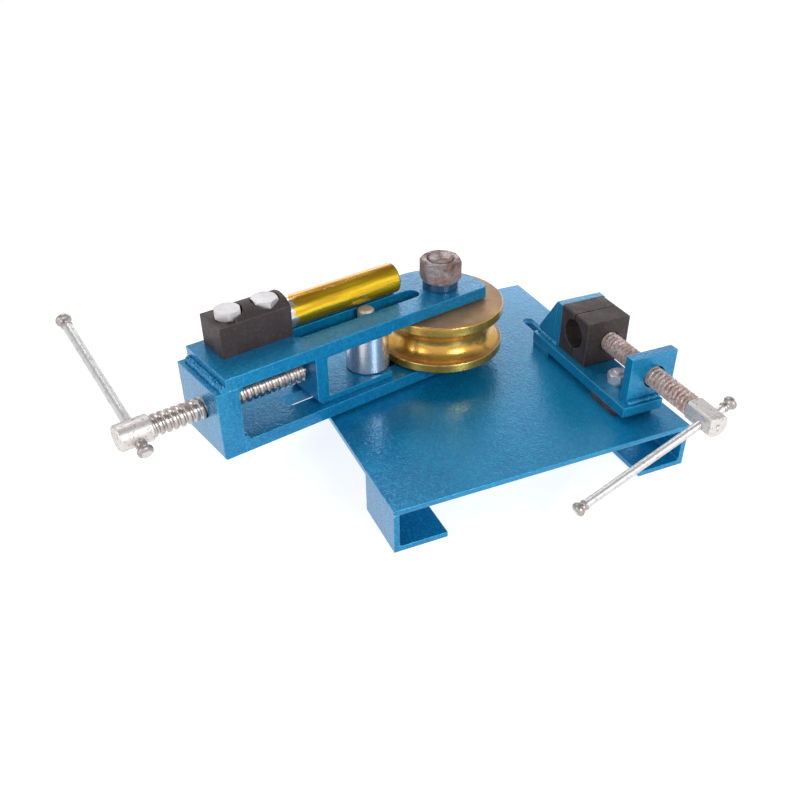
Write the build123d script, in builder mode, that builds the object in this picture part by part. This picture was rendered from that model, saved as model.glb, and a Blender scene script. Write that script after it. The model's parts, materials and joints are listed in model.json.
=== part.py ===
from build123d import *
import os
from math import cos, sin, radians

os.makedirs("parts", exist_ok=True)

# ---------------------------------------------------------------- driving dimensions (mm)
# Base plate and feet
plate_left = -47.0
plate_front = -133.0
plate_width = 300.0
plate_depth = 320.0
plate_thickness = 5.0
foot_height = 40.0
foot_length = 62.0
foot_flange = 50.0
foot_thickness = 5.0
plate_top = foot_height + plate_thickness

# Pivot
pivot_x = plate_left + 141.0
pivot_y = plate_front + 208.0
stud_radius = 12.0
running_gap = 0.08
turning_gap = 0.4
stud_hole = stud_radius + running_gap
stud_top = 157.0
nut_across_flats = 36.0
nut_bottom = 134.0
nut_top = 155.5
nut_turn = 24.5

# Swing arm: "along" runs from the pivot to the screw end, "across" towards the front
arm_angle = 193.2
arm_back = -43.0
arm_front = 29.0
arm_width = arm_front - arm_back
arm_nose_round = 54.0
arm_nose_middle = 15.0
bar_thickness = 12.0
bottom_bar_base = 48.0
bottom_bar_top = bottom_bar_base + bar_thickness
top_bar_base = 114.0
top_bar_top = top_bar_base + bar_thickness
block_start = 240.0
block_end = 261.0
top_bar_end = 251.0
slot_across = -3.0
slot_width = 17.0
slot_start = 26.0
top_slot_end = 170.0
bottom_slot_end = 184.0

# Bending die
die_radius = 63.0
groove_radius = 15.0
groove_height = 87.0
groove_centre = 64.0
washer_thickness = 1.5
die_base = bottom_bar_top + washer_thickness + turning_gap
die_top = top_bar_base - washer_thickness - turning_gap

# Roller carriage
leg_start = 148.0
leg_end = 160.0
jaw_tip = 76.0
jaw_thickness = 6.0
carriage_base = bottom_bar_top + turning_gap
carriage_top = top_bar_base - turning_gap
carriage_width = 50.0
roller_along = 87.5
roller_radius = 21.0
roller_gap = 0.6
pin_radius = 8.0
pin_base = 45.6
pin_top = 127.6

# Lead screw
screw_radius = 10.0
stub_radius = 6.0
thread_start = 163.0
thread_end = 309.0
lead_head_radius = 12.0
lead_head_end = 339.0
lead_cross_hole = 323.5
tommy_slope = 21.0
lead_tommy_radius = 4.5
lead_tommy_near = 18.6
lead_tommy_far = 136.2

# Handle block and socket tube
handle_start = 167.0
handle_end = 236.5
handle_front = -1.65
handle_back = -36.5
handle_flat = 155.5
handle_crown = 162.5
tube_radius = 14.5
tube_bore = 12.5
tube_start = 46.0
tube_across = -18.0
tube_height = top_bar_top + tube_radius + 0.6

# Vise: measured from the left front corner of the plate
vise_middle = plate_left + 265.0
bar_left = plate_left + 243.0
bar_width = 44.0
vise_bar_front = plate_front + 28.0
vise_bar_back = plate_front + 190.0
packer_thickness = 5.7
slide_gap = 0.3
vise_bar_base = plate_top + slide_gap + packer_thickness
vise_bar_top = vise_bar_base + 10.0
jaw_left = plate_left + 250.0
jaw_width = 50.0
vise_plate_thickness = 10.0
front_plate_y = plate_front + 34.4
rear_plate_y = plate_front + 152.0
vise_plate_top = 107.3
clamp_hole_y = plate_front + 129.0
clamp_hole_radius = 15.0
clamp_depth = 22.0
clamp_gap = 2.0
clamp_width = 48.0
clamp_top = 108.5
vise_screw_x = plate_left + 278.0
vise_screw_z = 83.5
vise_thread_end = plate_front - 21.0
vise_head_end = plate_front - 54.0
vise_cross_hole = plate_front - 40.6
vise_head_radius = 11.0
vise_tommy_slope = 25.2
vise_tommy_radius = 4.0
vise_tommy_near = 22.0
vise_tommy_far = 135.0
hold_down_y = (plate_front + 71.0, plate_front + 174.5)


# ---------------------------------------------------------------- directions on the machine
arm_along = Vector(cos(radians(arm_angle)), sin(radians(arm_angle)), 0)
arm_across = Vector(-arm_along.Y, arm_along.X, 0)
pivot = Vector(pivot_x, pivot_y, 0)
up = Vector(0, 0, 1)


def arm_point(along, across, height):
    return pivot + arm_along * along + arm_across * across + up * height


def arm_level(height, along=0.0, across=0.0):
    # Level plane on the arm: x runs along the arm and y across it
    return Plane(origin=arm_point(along, across, height), x_dir=arm_along, z_dir=up)


def arm_section(along, across=0.0, height=0.0):
    # Upright plane square to the arm: x runs across and y runs up
    return Plane(origin=arm_point(along, across, height), x_dir=arm_across, z_dir=arm_along)


def arm_side(across):
    # Upright plane along the arm: x runs along the arm and y runs up, the normal points to the back
    return Plane(origin=arm_point(0, across, 0), x_dir=arm_along, z_dir=arm_across * -1)


def vise_section(y, x=0.0, height=0.0):
    # Upright plane square to the vise screw: x runs right, y runs up and the normal points to the front
    return Plane(origin=(x, y, height), x_dir=(1, 0, 0), z_dir=(0, -1, 0))


def vise_side(x):
    # Upright plane along the vise: x runs to the back, y runs up and the normal points right
    return Plane(origin=(x, 0, 0), x_dir=(0, 1, 0), z_dir=(1, 0, 0))


def level(height, x=0.0, y=0.0):
    return Plane(origin=(x, y, height), x_dir=(1, 0, 0), z_dir=up)


def ring(plane, outer, inner, height):
    # A washer, collar or bush standing on a plane
    with BuildPart() as piece:
        with BuildSketch(plane):
            Circle(outer)
            if inner > 0:
                Circle(inner, mode=Mode.SUBTRACT)
        extrude(amount=height)
    return piece.part


def hexagon(plane, across_flats, height, bore=0.0, turn=0.0):
    # A hexagon whose corners are turned down to a cone at both ends
    corner_radius = across_flats / 2 / cos(radians(30))
    with BuildPart() as piece:
        with BuildSketch(plane):
            Circle(corner_radius)
        extrude(amount=height)
        chamfer(piece.edges().filter_by(GeomType.CIRCLE), (corner_radius - across_flats / 2) * 0.9)
        with BuildSketch(plane):
            RegularPolygon(across_flats / 2, 6, major_radius=False, rotation=turn)
        extrude(amount=height, mode=Mode.INTERSECT)
        if bore > 0:
            with BuildSketch(plane):
                Circle(bore)
            extrude(amount=height, mode=Mode.SUBTRACT)
    return piece.part


def bead(path_start, path_end, leg, side_a, side_b):
    # A straight weld bead of triangular section with a rounded face, laid into a corner
    run = path_end - path_start
    plane = Plane(origin=path_start, x_dir=side_a, z_dir=run.normalized())
    second = plane.to_local_coords(path_start + side_b)
    corner_a = Vector(leg, 0)
    corner_b = Vector(second.X, second.Y) * leg
    crest = (corner_a + corner_b) * 0.58
    with BuildPart() as piece:
        with BuildSketch(plane):
            with BuildLine():
                Line((0, 0), corner_a)
                ThreePointArc(corner_a, crest, corner_b)
                Line(corner_b, (0, 0))
            make_face()
        extrude(amount=run.length)
    return piece.part


# ---------------------------------------------------------------- base
# Flat plate with the stud hole and the slot that the vise slides in
vise_slot_front = plate_front + 48.0
vise_slot_back = plate_front + 242.0
vise_slot_width = 12.0
with BuildPart() as base_plate:
    with BuildSketch(level(foot_height)):
        with Locations((plate_left + plate_width / 2, plate_front + plate_depth / 2)):
            Rectangle(plate_width, plate_depth)
        with Locations((pivot_x, pivot_y)):
            Circle(stud_radius + 0.02, mode=Mode.SUBTRACT)
        with Locations((vise_middle, (vise_slot_front + vise_slot_back) / 2)):
            SlotOverall(vise_slot_back - vise_slot_front, vise_slot_width, rotation=90, mode=Mode.SUBTRACT)
    extrude(amount=plate_thickness)
base_plate.part.label = "base_plate"
export_step(base_plate.part, "parts/base_plate.step")

# Four angle feet: the upright leg stands flush with the plate's side, the flange lies inward
foot_welds = []
plate_middle_x = plate_left + plate_width / 2
for end_name, foot_y in (("front", plate_front), ("back", plate_front + plate_depth - foot_length)):
    for side_name, side in (("left", 1), ("right", -1)):
        outer = plate_middle_x - side * plate_width / 2
        with BuildPart() as foot:
            with BuildSketch(vise_section(foot_y + foot_length)):
                with BuildLine():
                    Polyline(
                        (outer, 0),
                        (outer + side * foot_flange, 0),
                        (outer + side * foot_flange, foot_thickness),
                        (outer + side * foot_thickness, foot_thickness),
                        (outer + side * foot_thickness, foot_height),
                        (outer, foot_height),
                        close=True,
                    )
                make_face()
            extrude(amount=foot_length)
            inner_corner = foot.edges().filter_by(Axis.Y).sort_by_distance(
                (outer + side * foot_thickness, foot_y, foot_thickness)
            )[0]
            fillet(inner_corner, 3.0)
        foot.part.label = "foot_" + end_name + "_" + side_name
        export_step(foot.part, "parts/foot_" + end_name + "_" + side_name + ".step")
        weld_x = outer + side * foot_thickness
        foot_welds.append(
            bead(
                Vector(weld_x, foot_y + 3, foot_height),
                Vector(weld_x, foot_y + foot_length - 3, foot_height),
                4.0,
                Vector(side, 0, 0),
                Vector(0, 0, -1),
            )
        )
foot_weld_group = Compound(label="foot_welds", children=foot_welds)
export_step(foot_weld_group, "parts/foot_welds.step")

# Pivot stud: hexagon head under the plate, centre mark on top
stud_head_height = 13.0
with BuildPart() as pivot_stud:
    add(hexagon(level(foot_height - stud_head_height, pivot_x, pivot_y), nut_across_flats, stud_head_height))
    with BuildSketch(level(foot_height, pivot_x, pivot_y)):
        Circle(stud_radius)
    extrude(amount=stud_top - foot_height)
    chamfer(pivot_stud.edges().filter_by(GeomType.CIRCLE).sort_by(Axis.Z)[-1], 1.2)
    with Locations(level(stud_top, pivot_x, pivot_y)):
        CounterSinkHole(1.2, 2.6, depth=4)
pivot_stud.part.label = "pivot_stud"
export_step(pivot_stud.part, "parts/pivot_stud.step")

# Thrust washer between the plate and the arm, one turning gap below the bar
base_washer = ring(level(plate_top, pivot_x, pivot_y), 25.0, stud_radius + 0.02,
                   bottom_bar_base - plate_top - turning_gap)
base_washer.label = "base_thrust_washer"
export_step(base_washer, "parts/base_thrust_washer.step")

# Round spacer between the arm and the nut
spacer_base = top_bar_top + turning_gap
pivot_spacer = ring(level(spacer_base, pivot_x, pivot_y), 17.5, stud_radius + 0.02, nut_bottom - spacer_base)
pivot_spacer.label = "pivot_spacer"
export_step(pivot_spacer, "parts/pivot_spacer.step")

# Large nut, countersunk round the stud
with BuildPart() as pivot_nut:
    add(hexagon(level(nut_bottom, pivot_x, pivot_y), nut_across_flats, nut_top - nut_bottom,
                stud_radius + 0.02, nut_turn))
    bore_rim = pivot_nut.edges().filter_by(GeomType.CIRCLE).group_by(Axis.Z)[-1].sort_by(SortBy.RADIUS)[0]
    chamfer(bore_rim, 2.0)
pivot_nut.part.label = "pivot_nut"
export_step(pivot_nut.part, "parts/pivot_nut.step")


# ---------------------------------------------------------------- swing arm
handle_bolts_at = ((219.5, -18.0), (184.0, -17.0))
handle_bolt_radius = 7.0
handle_bolt_base = 116.0


def arm_bar(base, end, slot_end, tapped=()):
    # A flat bar with a rounded nose, the stud hole, the roller slot and any tapped holes
    nose_across = arm_back + arm_nose_round
    nose_tip = (arm_nose_middle - arm_nose_round, nose_across)
    nose_corner = arm_nose_middle - (arm_nose_round**2 - (arm_front - nose_across) ** 2) ** 0.5
    with BuildPart() as bar:
        with BuildSketch(arm_level(base)):
            with BuildLine():
                Line((arm_nose_middle, arm_back), (end, arm_back))
                Line((end, arm_back), (end, arm_front))
                Line((end, arm_front), (nose_corner, arm_front))
                ThreePointArc((nose_corner, arm_front), nose_tip, (arm_nose_middle, arm_back))
            make_face()
            Circle(stud_hole, mode=Mode.SUBTRACT)
            with Locations(((slot_start + slot_end) / 2, slot_across)):
                SlotOverall(slot_end - slot_start, slot_width, mode=Mode.SUBTRACT)
            if tapped:
                with Locations(*tapped):
                    Circle(handle_bolt_radius + 0.02, mode=Mode.SUBTRACT)
        extrude(amount=bar_thickness)
        corners = bar.edges().filter_by(Axis.Z)
        fillet(corners.sort_by_distance(arm_point(nose_corner, arm_front, base))[0], 4.0)
    return bar.part


arm_top_bar = arm_bar(top_bar_base, top_bar_end, top_slot_end, handle_bolts_at)
arm_top_bar.label = "arm_top_bar"
export_step(arm_top_bar, "parts/arm_top_bar.step")

arm_bottom_bar = arm_bar(bottom_bar_base, block_start, bottom_slot_end)
arm_bottom_bar.label = "arm_bottom_bar"
export_step(arm_bottom_bar, "parts/arm_bottom_bar.step")

# End block between the bars: its hole is tapped for the lead screw
screw_clearance = 0.08
with BuildPart() as arm_end_block:
    with BuildSketch(arm_section(block_start)):
        with Locations(((arm_back + arm_front) / 2, (bottom_bar_base + top_bar_base) / 2)):
            Rectangle(arm_width, top_bar_base - bottom_bar_base)
        with Locations((slot_across, groove_height)):
            Circle(screw_radius + screw_clearance, mode=Mode.SUBTRACT)
    extrude(amount=block_end - block_start)
    outer_foot = arm_end_block.edges().filter_by(Axis((0, 0, 0), arm_across)).group_by(Axis.Z)[0]
    fillet(outer_foot.sort_by_distance(arm_point(block_end, 0, bottom_bar_base))[0], 3.0)
arm_end_block.part.label = "arm_end_block"
export_step(arm_end_block.part, "parts/arm_end_block.step")

# Weld beads round the end block
arm_weld_margin = 3.0  # the beads stop short at the back and run out flush at the front
arm_weld_places = (
    (top_bar_end, top_bar_base, arm_along, up, 7.0),
    (block_start, bottom_bar_top, arm_along * -1, up, 6.0),
    (block_start, top_bar_base, arm_along * -1, up * -1, 6.0),
)
arm_weld_beads = [
    bead(
        arm_point(along, arm_back + arm_weld_margin, height),
        arm_point(along, arm_front, height),
        leg,
        side_a,
        side_b,
    )
    for along, height, side_a, side_b, leg in arm_weld_places
]
arm_welds = Compound(label="arm_welds", children=arm_weld_beads)
export_step(arm_welds, "parts/arm_welds.step")

# Washers that keep the die off the bars
washer_radius = 22.0
for washer_name, washer_base in (
    ("lower_die_washer", bottom_bar_top),
    ("upper_die_washer", top_bar_base - washer_thickness),
):
    die_washer = ring(arm_level(washer_base), washer_radius, stud_hole, washer_thickness)
    die_washer.label = washer_name
    export_step(die_washer, "parts/" + washer_name + ".step")

# Handle block: flat sides, arched top and two milled seats for the bolts, the outer one open to the end
seat_radius = 13.2
with BuildPart() as handle_block:
    with BuildSketch(arm_section(handle_start)):
        with BuildLine():
            Polyline(
                (handle_back, handle_flat),
                (handle_back, top_bar_top),
                (handle_front, top_bar_top),
                (handle_front, handle_flat),
            )
            ThreePointArc(
                (handle_front, handle_flat),
                ((handle_front + handle_back) / 2, handle_crown),
                (handle_back, handle_flat),
            )
        make_face()
    extrude(amount=handle_end - handle_start)
    with BuildSketch(arm_level(handle_flat)):
        with Locations(((handle_bolts_at[0][0] + handle_end) / 2, (handle_front + handle_back) / 2)):
            Rectangle(handle_end - handle_bolts_at[0][0], handle_front - handle_back + 2)
        with Locations(*handle_bolts_at):
            Circle(seat_radius)
    extrude(amount=handle_crown - handle_flat + 1, mode=Mode.SUBTRACT)
    with BuildSketch(arm_level(top_bar_top)):
        with Locations(*handle_bolts_at):
            Circle(handle_bolt_radius + 0.02)
    extrude(amount=handle_crown - top_bar_top, mode=Mode.SUBTRACT)
handle_block.part.label = "handle_block"
export_step(handle_block.part, "parts/handle_block.step")

# Two plated hexagon bolts through the block into the top bar
handle_bolt_flats = 22.0
handle_bolt_head = 7.5
handle_bolts = []
for turn, (along, across) in zip((8.0, 24.0), handle_bolts_at):
    with BuildPart() as handle_bolt:
        with BuildSketch(arm_level(handle_bolt_base, along, across)):
            Circle(handle_bolt_radius)
        extrude(amount=handle_flat - handle_bolt_base)
        add(hexagon(arm_level(handle_flat, along, across), handle_bolt_flats, handle_bolt_head, 0, turn))
    handle_bolts.append(handle_bolt.part)
handle_bolt_group = Compound(label="handle_bolts", children=handle_bolts)
export_step(handle_bolt_group, "parts/handle_bolts.step")

# Socket tube that takes the loose handle bar, open towards the pivot, its other end against the block
socket_tube = ring(
    arm_section(tube_start, tube_across, tube_height), tube_radius, tube_bore, handle_start - tube_start
)
socket_tube.label = "handle_socket_tube"
export_step(socket_tube, "parts/handle_socket_tube.step")


# ---------------------------------------------------------------- bending die
rim_chamfer = 2.0
lip_height = (groove_radius**2 - (groove_centre - die_radius) ** 2) ** 0.5
groove_floor = groove_centre - groove_radius
with BuildPart() as bending_die:
    with BuildSketch(vise_section(pivot_y, pivot_x)):
        with BuildLine():
            Polyline(
                (die_radius, groove_height - lip_height),
                (die_radius, die_base + rim_chamfer),
                (die_radius - rim_chamfer, die_base),
                (stud_hole, die_base),
                (stud_hole, die_top),
                (die_radius - rim_chamfer / 2, die_top),
                (die_radius, die_top - rim_chamfer / 2),
                (die_radius, groove_height + lip_height),
            )
            ThreePointArc(
                (die_radius, groove_height + lip_height),
                (groove_floor, groove_height),
                (die_radius, groove_height - lip_height),
            )
        make_face()
    revolve(axis=Axis((pivot_x, pivot_y, 0), (0, 0, 1)))
    lips = bending_die.edges().filter_by(GeomType.CIRCLE)
    lips = lips.filter_by_position(Axis.Z, groove_height - lip_height - 0.1, groove_height + lip_height + 0.1)
    fillet([lip for lip in lips if abs(lip.radius - die_radius) < 0.1], 0.9)
bending_die.part.label = "bending_die"
export_step(bending_die.part, "parts/bending_die.step")


# ---------------------------------------------------------------- roller carriage
jaw_bevel = 4.5
with BuildPart() as carriage_bracket:
    with BuildSketch(arm_side(slot_across + carriage_width / 2)):
        with BuildLine():
            Polyline(
                (jaw_tip, carriage_base),
                (leg_end - jaw_bevel, carriage_base),
                (leg_end, carriage_base + jaw_bevel),
                (leg_end, carriage_top - jaw_bevel),
                (leg_end - jaw_bevel, carriage_top),
                (jaw_tip, carriage_top),
                (jaw_tip, carriage_top - jaw_thickness),
                (leg_start, carriage_top - jaw_thickness),
                (leg_start, carriage_base + jaw_thickness),
                (jaw_tip, carriage_base + jaw_thickness),
                close=True,
            )
        make_face()
    extrude(amount=carriage_width)
    for inner_height in (carriage_base + jaw_thickness, carriage_top - jaw_thickness):
        corners = carriage_bracket.edges().filter_by(Axis((0, 0, 0), arm_across))
        fillet(corners.sort_by_distance(arm_point(leg_start, slot_across, inner_height))[0], 3.0)
    with BuildSketch(arm_level(carriage_base, roller_along, slot_across)):
        Circle(pin_radius + 0.02)
    extrude(amount=carriage_top - carriage_base, mode=Mode.SUBTRACT)
    with BuildSketch(arm_section(leg_start, slot_across, groove_height)):
        Circle(stub_radius + running_gap)
    extrude(amount=leg_end - leg_start, mode=Mode.SUBTRACT)
carriage_bracket.part.label = "carriage_bracket"
export_step(carriage_bracket.part, "parts/carriage_bracket.step")

# Roller pin with a groove for its circlip under the arm
circlip_base = 46.4
circlip_thickness = 1.2
circlip_groove = 1.0
with BuildPart() as roller_pin:
    with BuildSketch(arm_level(pin_base, roller_along, slot_across)):
        Circle(pin_radius)
    extrude(amount=pin_top - pin_base)
    chamfer(roller_pin.edges().filter_by(GeomType.CIRCLE).sort_by(Axis.Z)[-1], 1.5)
    with BuildSketch(arm_level(circlip_base, roller_along, slot_across)):
        Circle(pin_radius)
        Circle(pin_radius - circlip_groove, mode=Mode.SUBTRACT)
    extrude(amount=circlip_thickness, mode=Mode.SUBTRACT)
roller_pin.part.label = "roller_pin"
export_step(roller_pin.part, "parts/roller_pin.step")

with BuildPart() as pin_circlip:
    with BuildSketch(arm_level(circlip_base, roller_along, slot_across)):
        Circle(pin_radius + 3.0)
        Circle(pin_radius - circlip_groove, mode=Mode.SUBTRACT)
        with Locations((pin_radius, 0)):
            Rectangle(8, 6, mode=Mode.SUBTRACT)
    extrude(amount=circlip_thickness)
pin_circlip.part.label = "pin_circlip"
export_step(pin_circlip.part, "parts/pin_circlip.step")

# Plain roller
roller_base = carriage_base + jaw_thickness + roller_gap
roller_top = carriage_top - jaw_thickness - roller_gap
with BuildPart() as pressure_roller:
    add(ring(arm_level(roller_base, roller_along, slot_across), roller_radius, pin_radius + running_gap,
             roller_top - roller_base))
    rims = pressure_roller.edges().filter_by(GeomType.CIRCLE)
    chamfer([rim for rim in rims if rim.radius > pin_radius + 1], 0.8)
pressure_roller.part.label = "pressure_roller"
export_step(pressure_roller.part, "parts/pressure_roller.step")


# ---------------------------------------------------------------- lead screw
collar_length = 6.0
collar_start = leg_start - turning_gap - collar_length
spigot_depth = 8.0
with BuildPart() as lead_screw:
    with BuildSketch(arm_section(collar_start, slot_across, groove_height)):
        Circle(stub_radius)
    extrude(amount=thread_end + spigot_depth - collar_start)
    with BuildSketch(arm_section(thread_start, slot_across, groove_height)):
        Circle(screw_radius)
    extrude(amount=thread_end - thread_start)
lead_screw.part.label = "lead_screw"
export_step(lead_screw.part, "parts/lead_screw.step")

lead_collar = ring(
    arm_section(collar_start, slot_across, groove_height), 11.0, stub_radius + 0.02, collar_length
)
lead_collar.label = "lead_screw_collar"
export_step(lead_collar, "parts/lead_screw_collar.step")

lead_tommy_axis = arm_across * -cos(radians(tommy_slope)) + up * sin(radians(tommy_slope))
lead_cross = arm_point(lead_cross_hole, slot_across, groove_height)
with BuildPart() as lead_head:
    with BuildSketch(arm_section(thread_end, slot_across, groove_height)):
        Circle(lead_head_radius)
    extrude(amount=lead_head_end - thread_end)
    chamfer(lead_head.edges().filter_by(GeomType.CIRCLE), 1.2)
    with BuildSketch(arm_section(thread_end, slot_across, groove_height)):
        Circle(stub_radius + 0.02)
    extrude(amount=spigot_depth, mode=Mode.SUBTRACT)
    with Locations(Plane(origin=lead_cross, x_dir=arm_along, z_dir=lead_tommy_axis)):
        Hole(lead_tommy_radius + running_gap)
lead_head.part.label = "lead_screw_head"
export_step(lead_head.part, "parts/lead_screw_head.step")

knob_length = 12.0
knob_round = 2.0


def tommy_bar(centre, axis, x_dir, start, end, radius):
    # A plain bar through the screw head, long enough to pass through both end knobs
    origin = centre + axis * (start - knob_length / 2)
    return ring(Plane(origin=origin, x_dir=x_dir, z_dir=axis), radius, 0, end - start + knob_length)


def tommy_knobs(centre, axis, x_dir, places, bar_radius, knob_radius, label):
    # The two riveted end knobs, as separate solids of one group
    knobs = []
    for place in places:
        plane = Plane(origin=centre + axis * (place - knob_length / 2), x_dir=x_dir, z_dir=axis)
        with BuildPart() as knob:
            add(ring(plane, knob_radius, bar_radius + 0.02, knob_length))
            rims = knob.edges().filter_by(GeomType.CIRCLE)
            fillet([rim for rim in rims if rim.radius > bar_radius + 1], knob_round)
        knobs.append(knob.part)
    return Compound(label=label, children=knobs)


lead_tommy = tommy_bar(
    lead_cross, lead_tommy_axis, arm_along, -lead_tommy_near, lead_tommy_far, lead_tommy_radius
)
lead_tommy.label = "lead_tommy_bar"
export_step(lead_tommy, "parts/lead_tommy_bar.step")
lead_knobs = tommy_knobs(
    lead_cross,
    lead_tommy_axis,
    arm_along,
    (-lead_tommy_near, lead_tommy_far),
    lead_tommy_radius,
    7.0,
    "lead_tommy_knobs",
)
export_step(lead_knobs, "parts/lead_tommy_knobs.step")


# ---------------------------------------------------------------- vise
hold_down_radius = 5.0
hold_down_hole = 5.3


def drilled_strip(base, y_from, y_to, thickness):
    # A strip as wide as the vise bar, drilled wherever a hold-down bolt passes
    holes = [(vise_middle, y) for y in hold_down_y if y_from < y < y_to]
    with BuildPart() as strip:
        with BuildSketch(level(base)):
            with Locations((bar_left + bar_width / 2, (y_from + y_to) / 2)):
                Rectangle(bar_width, y_to - y_from)
            with Locations(*holes):
                Circle(hold_down_hole, mode=Mode.SUBTRACT)
        extrude(amount=thickness)
    return strip.part


vise_bar = drilled_strip(vise_bar_base, vise_bar_front, vise_bar_back, vise_bar_top - vise_bar_base)
vise_bar.label = "vise_base_bar"
export_step(vise_bar, "parts/vise_base_bar.step")

packer_base = plate_top + slide_gap
for packer_name, y_from, y_to in (
    ("vise_front_packer", plate_front + 41.0, plate_front + 80.0),
    ("vise_rear_packer", plate_front + 160.0, plate_front + 189.0),
):
    packer = drilled_strip(packer_base, y_from, y_to, packer_thickness)
    packer.label = packer_name
    export_step(packer, "parts/" + packer_name + ".step")

# Upright plates: the front one lets the screw through, the rear one backs the fixed clamp half
with BuildPart() as vise_front_plate:
    with BuildSketch(vise_section(front_plate_y + vise_plate_thickness)):
        with Locations((jaw_left + jaw_width / 2, (vise_bar_top + vise_plate_top) / 2)):
            Rectangle(jaw_width, vise_plate_top - vise_bar_top)
        with Locations((vise_screw_x, vise_screw_z)):
            Circle(screw_radius + 1.4, mode=Mode.SUBTRACT)
    extrude(amount=vise_plate_thickness)
vise_front_plate.part.label = "vise_front_plate"
export_step(vise_front_plate.part, "parts/vise_front_plate.step")

with BuildPart() as vise_rear_plate:
    with BuildSketch(vise_section(rear_plate_y + vise_plate_thickness)):
        with Locations((jaw_left + jaw_width / 2, (vise_bar_top + vise_plate_top) / 2)):
            Rectangle(jaw_width, vise_plate_top - vise_bar_top)
    extrude(amount=vise_plate_thickness)
vise_rear_plate.part.label = "vise_rear_plate"
export_step(vise_rear_plate.part, "parts/vise_rear_plate.step")

gusset_thickness = 6.0
rear_face_y = rear_plate_y + vise_plate_thickness
with BuildPart() as vise_gusset:
    with BuildSketch(vise_side(jaw_left)):
        with BuildLine():
            Polyline(
                (rear_face_y, vise_bar_top),
                (vise_bar_back, vise_bar_top),
                (vise_bar_back, vise_bar_top + 6.0),
                (rear_face_y, vise_plate_top),
                close=True,
            )
        make_face()
    extrude(amount=gusset_thickness)
vise_gusset.part.label = "vise_gusset"
export_step(vise_gusset.part, "parts/vise_gusset.step")

# Threaded boss welded behind the front plate
vise_nut_length = 12.0
vise_nut = ring(
    vise_section(front_plate_y + vise_plate_thickness + vise_nut_length, vise_screw_x, vise_screw_z),
    14.0,
    screw_radius + screw_clearance,
    vise_nut_length,
)
vise_nut.label = "vise_nut"
export_step(vise_nut, "parts/vise_nut.step")

# Weld beads: front plate, rear plate and gusset to the bar
bar_right = bar_left + bar_width
vise_weld_places = (
    ((jaw_left + 1, front_plate_y, vise_bar_top), (bar_right - 1, front_plate_y, vise_bar_top),
     (0, -1, 0), (0, 0, 1), 5.0),
    ((jaw_left + gusset_thickness + 1, rear_face_y, vise_bar_top), (bar_right - 1, rear_face_y, vise_bar_top),
     (0, 1, 0), (0, 0, 1), 3.5),
    ((jaw_left, rear_face_y - 8, vise_bar_top), (jaw_left, vise_bar_back - 1, vise_bar_top),
     (-1, 0, 0), (0, 0, 1), 4.0),
)
vise_weld_beads = [
    bead(Vector(*start), Vector(*end), leg, Vector(*side_a), Vector(*side_b))
    for start, end, side_a, side_b, leg in vise_weld_places
]
vise_welds = Compound(label="vise_welds", children=vise_weld_beads)
export_step(vise_welds, "parts/vise_welds.step")

# Hold-down bolts: heads under the plate, washers at both ends, nuts on the bar
hold_down_flats = 17.0
bolt_head_height = 6.4
nut_height = 8.0
washer_height = 2.0
washer_outer = 8.8
lower_washer_base = foot_height - slide_gap - washer_height
bolts = []
washers = []
nuts = []
for turn, y in zip((12.0, 30.0), hold_down_y):
    head_base = lower_washer_base - bolt_head_height
    nut_base = vise_bar_top + washer_height
    with BuildPart() as hold_down_bolt:
        add(hexagon(level(head_base, vise_middle, y), hold_down_flats, bolt_head_height))
        with BuildSketch(level(lower_washer_base, vise_middle, y)):
            Circle(hold_down_radius)
        extrude(amount=nut_base + nut_height + 3 - lower_washer_base)
        chamfer(hold_down_bolt.edges().filter_by(GeomType.CIRCLE).sort_by(Axis.Z)[-1], 0.8)
    bolts.append(hold_down_bolt.part)
    for washer_base in (lower_washer_base, vise_bar_top):
        washers.append(
            ring(level(washer_base, vise_middle, y), washer_outer, hold_down_radius + 0.02, washer_height)
        )
    nuts.append(
        hexagon(level(nut_base, vise_middle, y), hold_down_flats, nut_height, hold_down_radius + 0.02, turn)
    )
for group_name, group in (
    ("hold_down_bolts", bolts),
    ("hold_down_washers", washers),
    ("hold_down_nuts", nuts),
):
    export_step(Compound(label=group_name, children=group), "parts/" + group_name + ".step")

# Clamp halves with the tube hole on their parting line
half_gap = clamp_gap / 2
screw_socket_depth = 2.5
tip_bore_depth = 6.6
clamp_bevel = 1.2


def clamp_half(base, y_from, y_to):
    # One half of the clamp block, its outer edges broken, with its side of the tube hole
    with BuildPart() as half:
        with BuildSketch(vise_section(y_to)):
            with Locations((jaw_left + clamp_width / 2, (base + clamp_top) / 2)):
                Rectangle(clamp_width, clamp_top - base)
        extrude(amount=y_to - y_from)
        chamfer(half.edges().filter_by(Axis.Y).group_by(Axis.Z)[-1], clamp_bevel)
        with BuildSketch(vise_side(jaw_left)):
            with Locations((clamp_hole_y, groove_height)):
                Circle(clamp_hole_radius)
        extrude(amount=clamp_width, mode=Mode.SUBTRACT)
    return half.part


fixed_half = clamp_half(vise_bar_top, clamp_hole_y + half_gap, rear_plate_y)
fixed_half.label = "clamp_fixed_half"
export_step(fixed_half, "parts/clamp_fixed_half.step")

moving_front_y = clamp_hole_y - half_gap - clamp_depth
with BuildPart() as moving_half:
    add(clamp_half(vise_bar_top + turning_gap, moving_front_y, clamp_hole_y - half_gap))
    with BuildSketch(vise_section(moving_front_y + screw_socket_depth, vise_screw_x, vise_screw_z)):
        Circle(screw_radius + 1.0)
    extrude(amount=screw_socket_depth, mode=Mode.SUBTRACT)
    with BuildSketch(vise_section(moving_front_y + tip_bore_depth, vise_screw_x, vise_screw_z)):
        Circle(stub_radius + running_gap)
    extrude(amount=tip_bore_depth, mode=Mode.SUBTRACT)
moving_half.part.label = "clamp_moving_half"
export_step(moving_half.part, "parts/clamp_moving_half.step")


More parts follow.
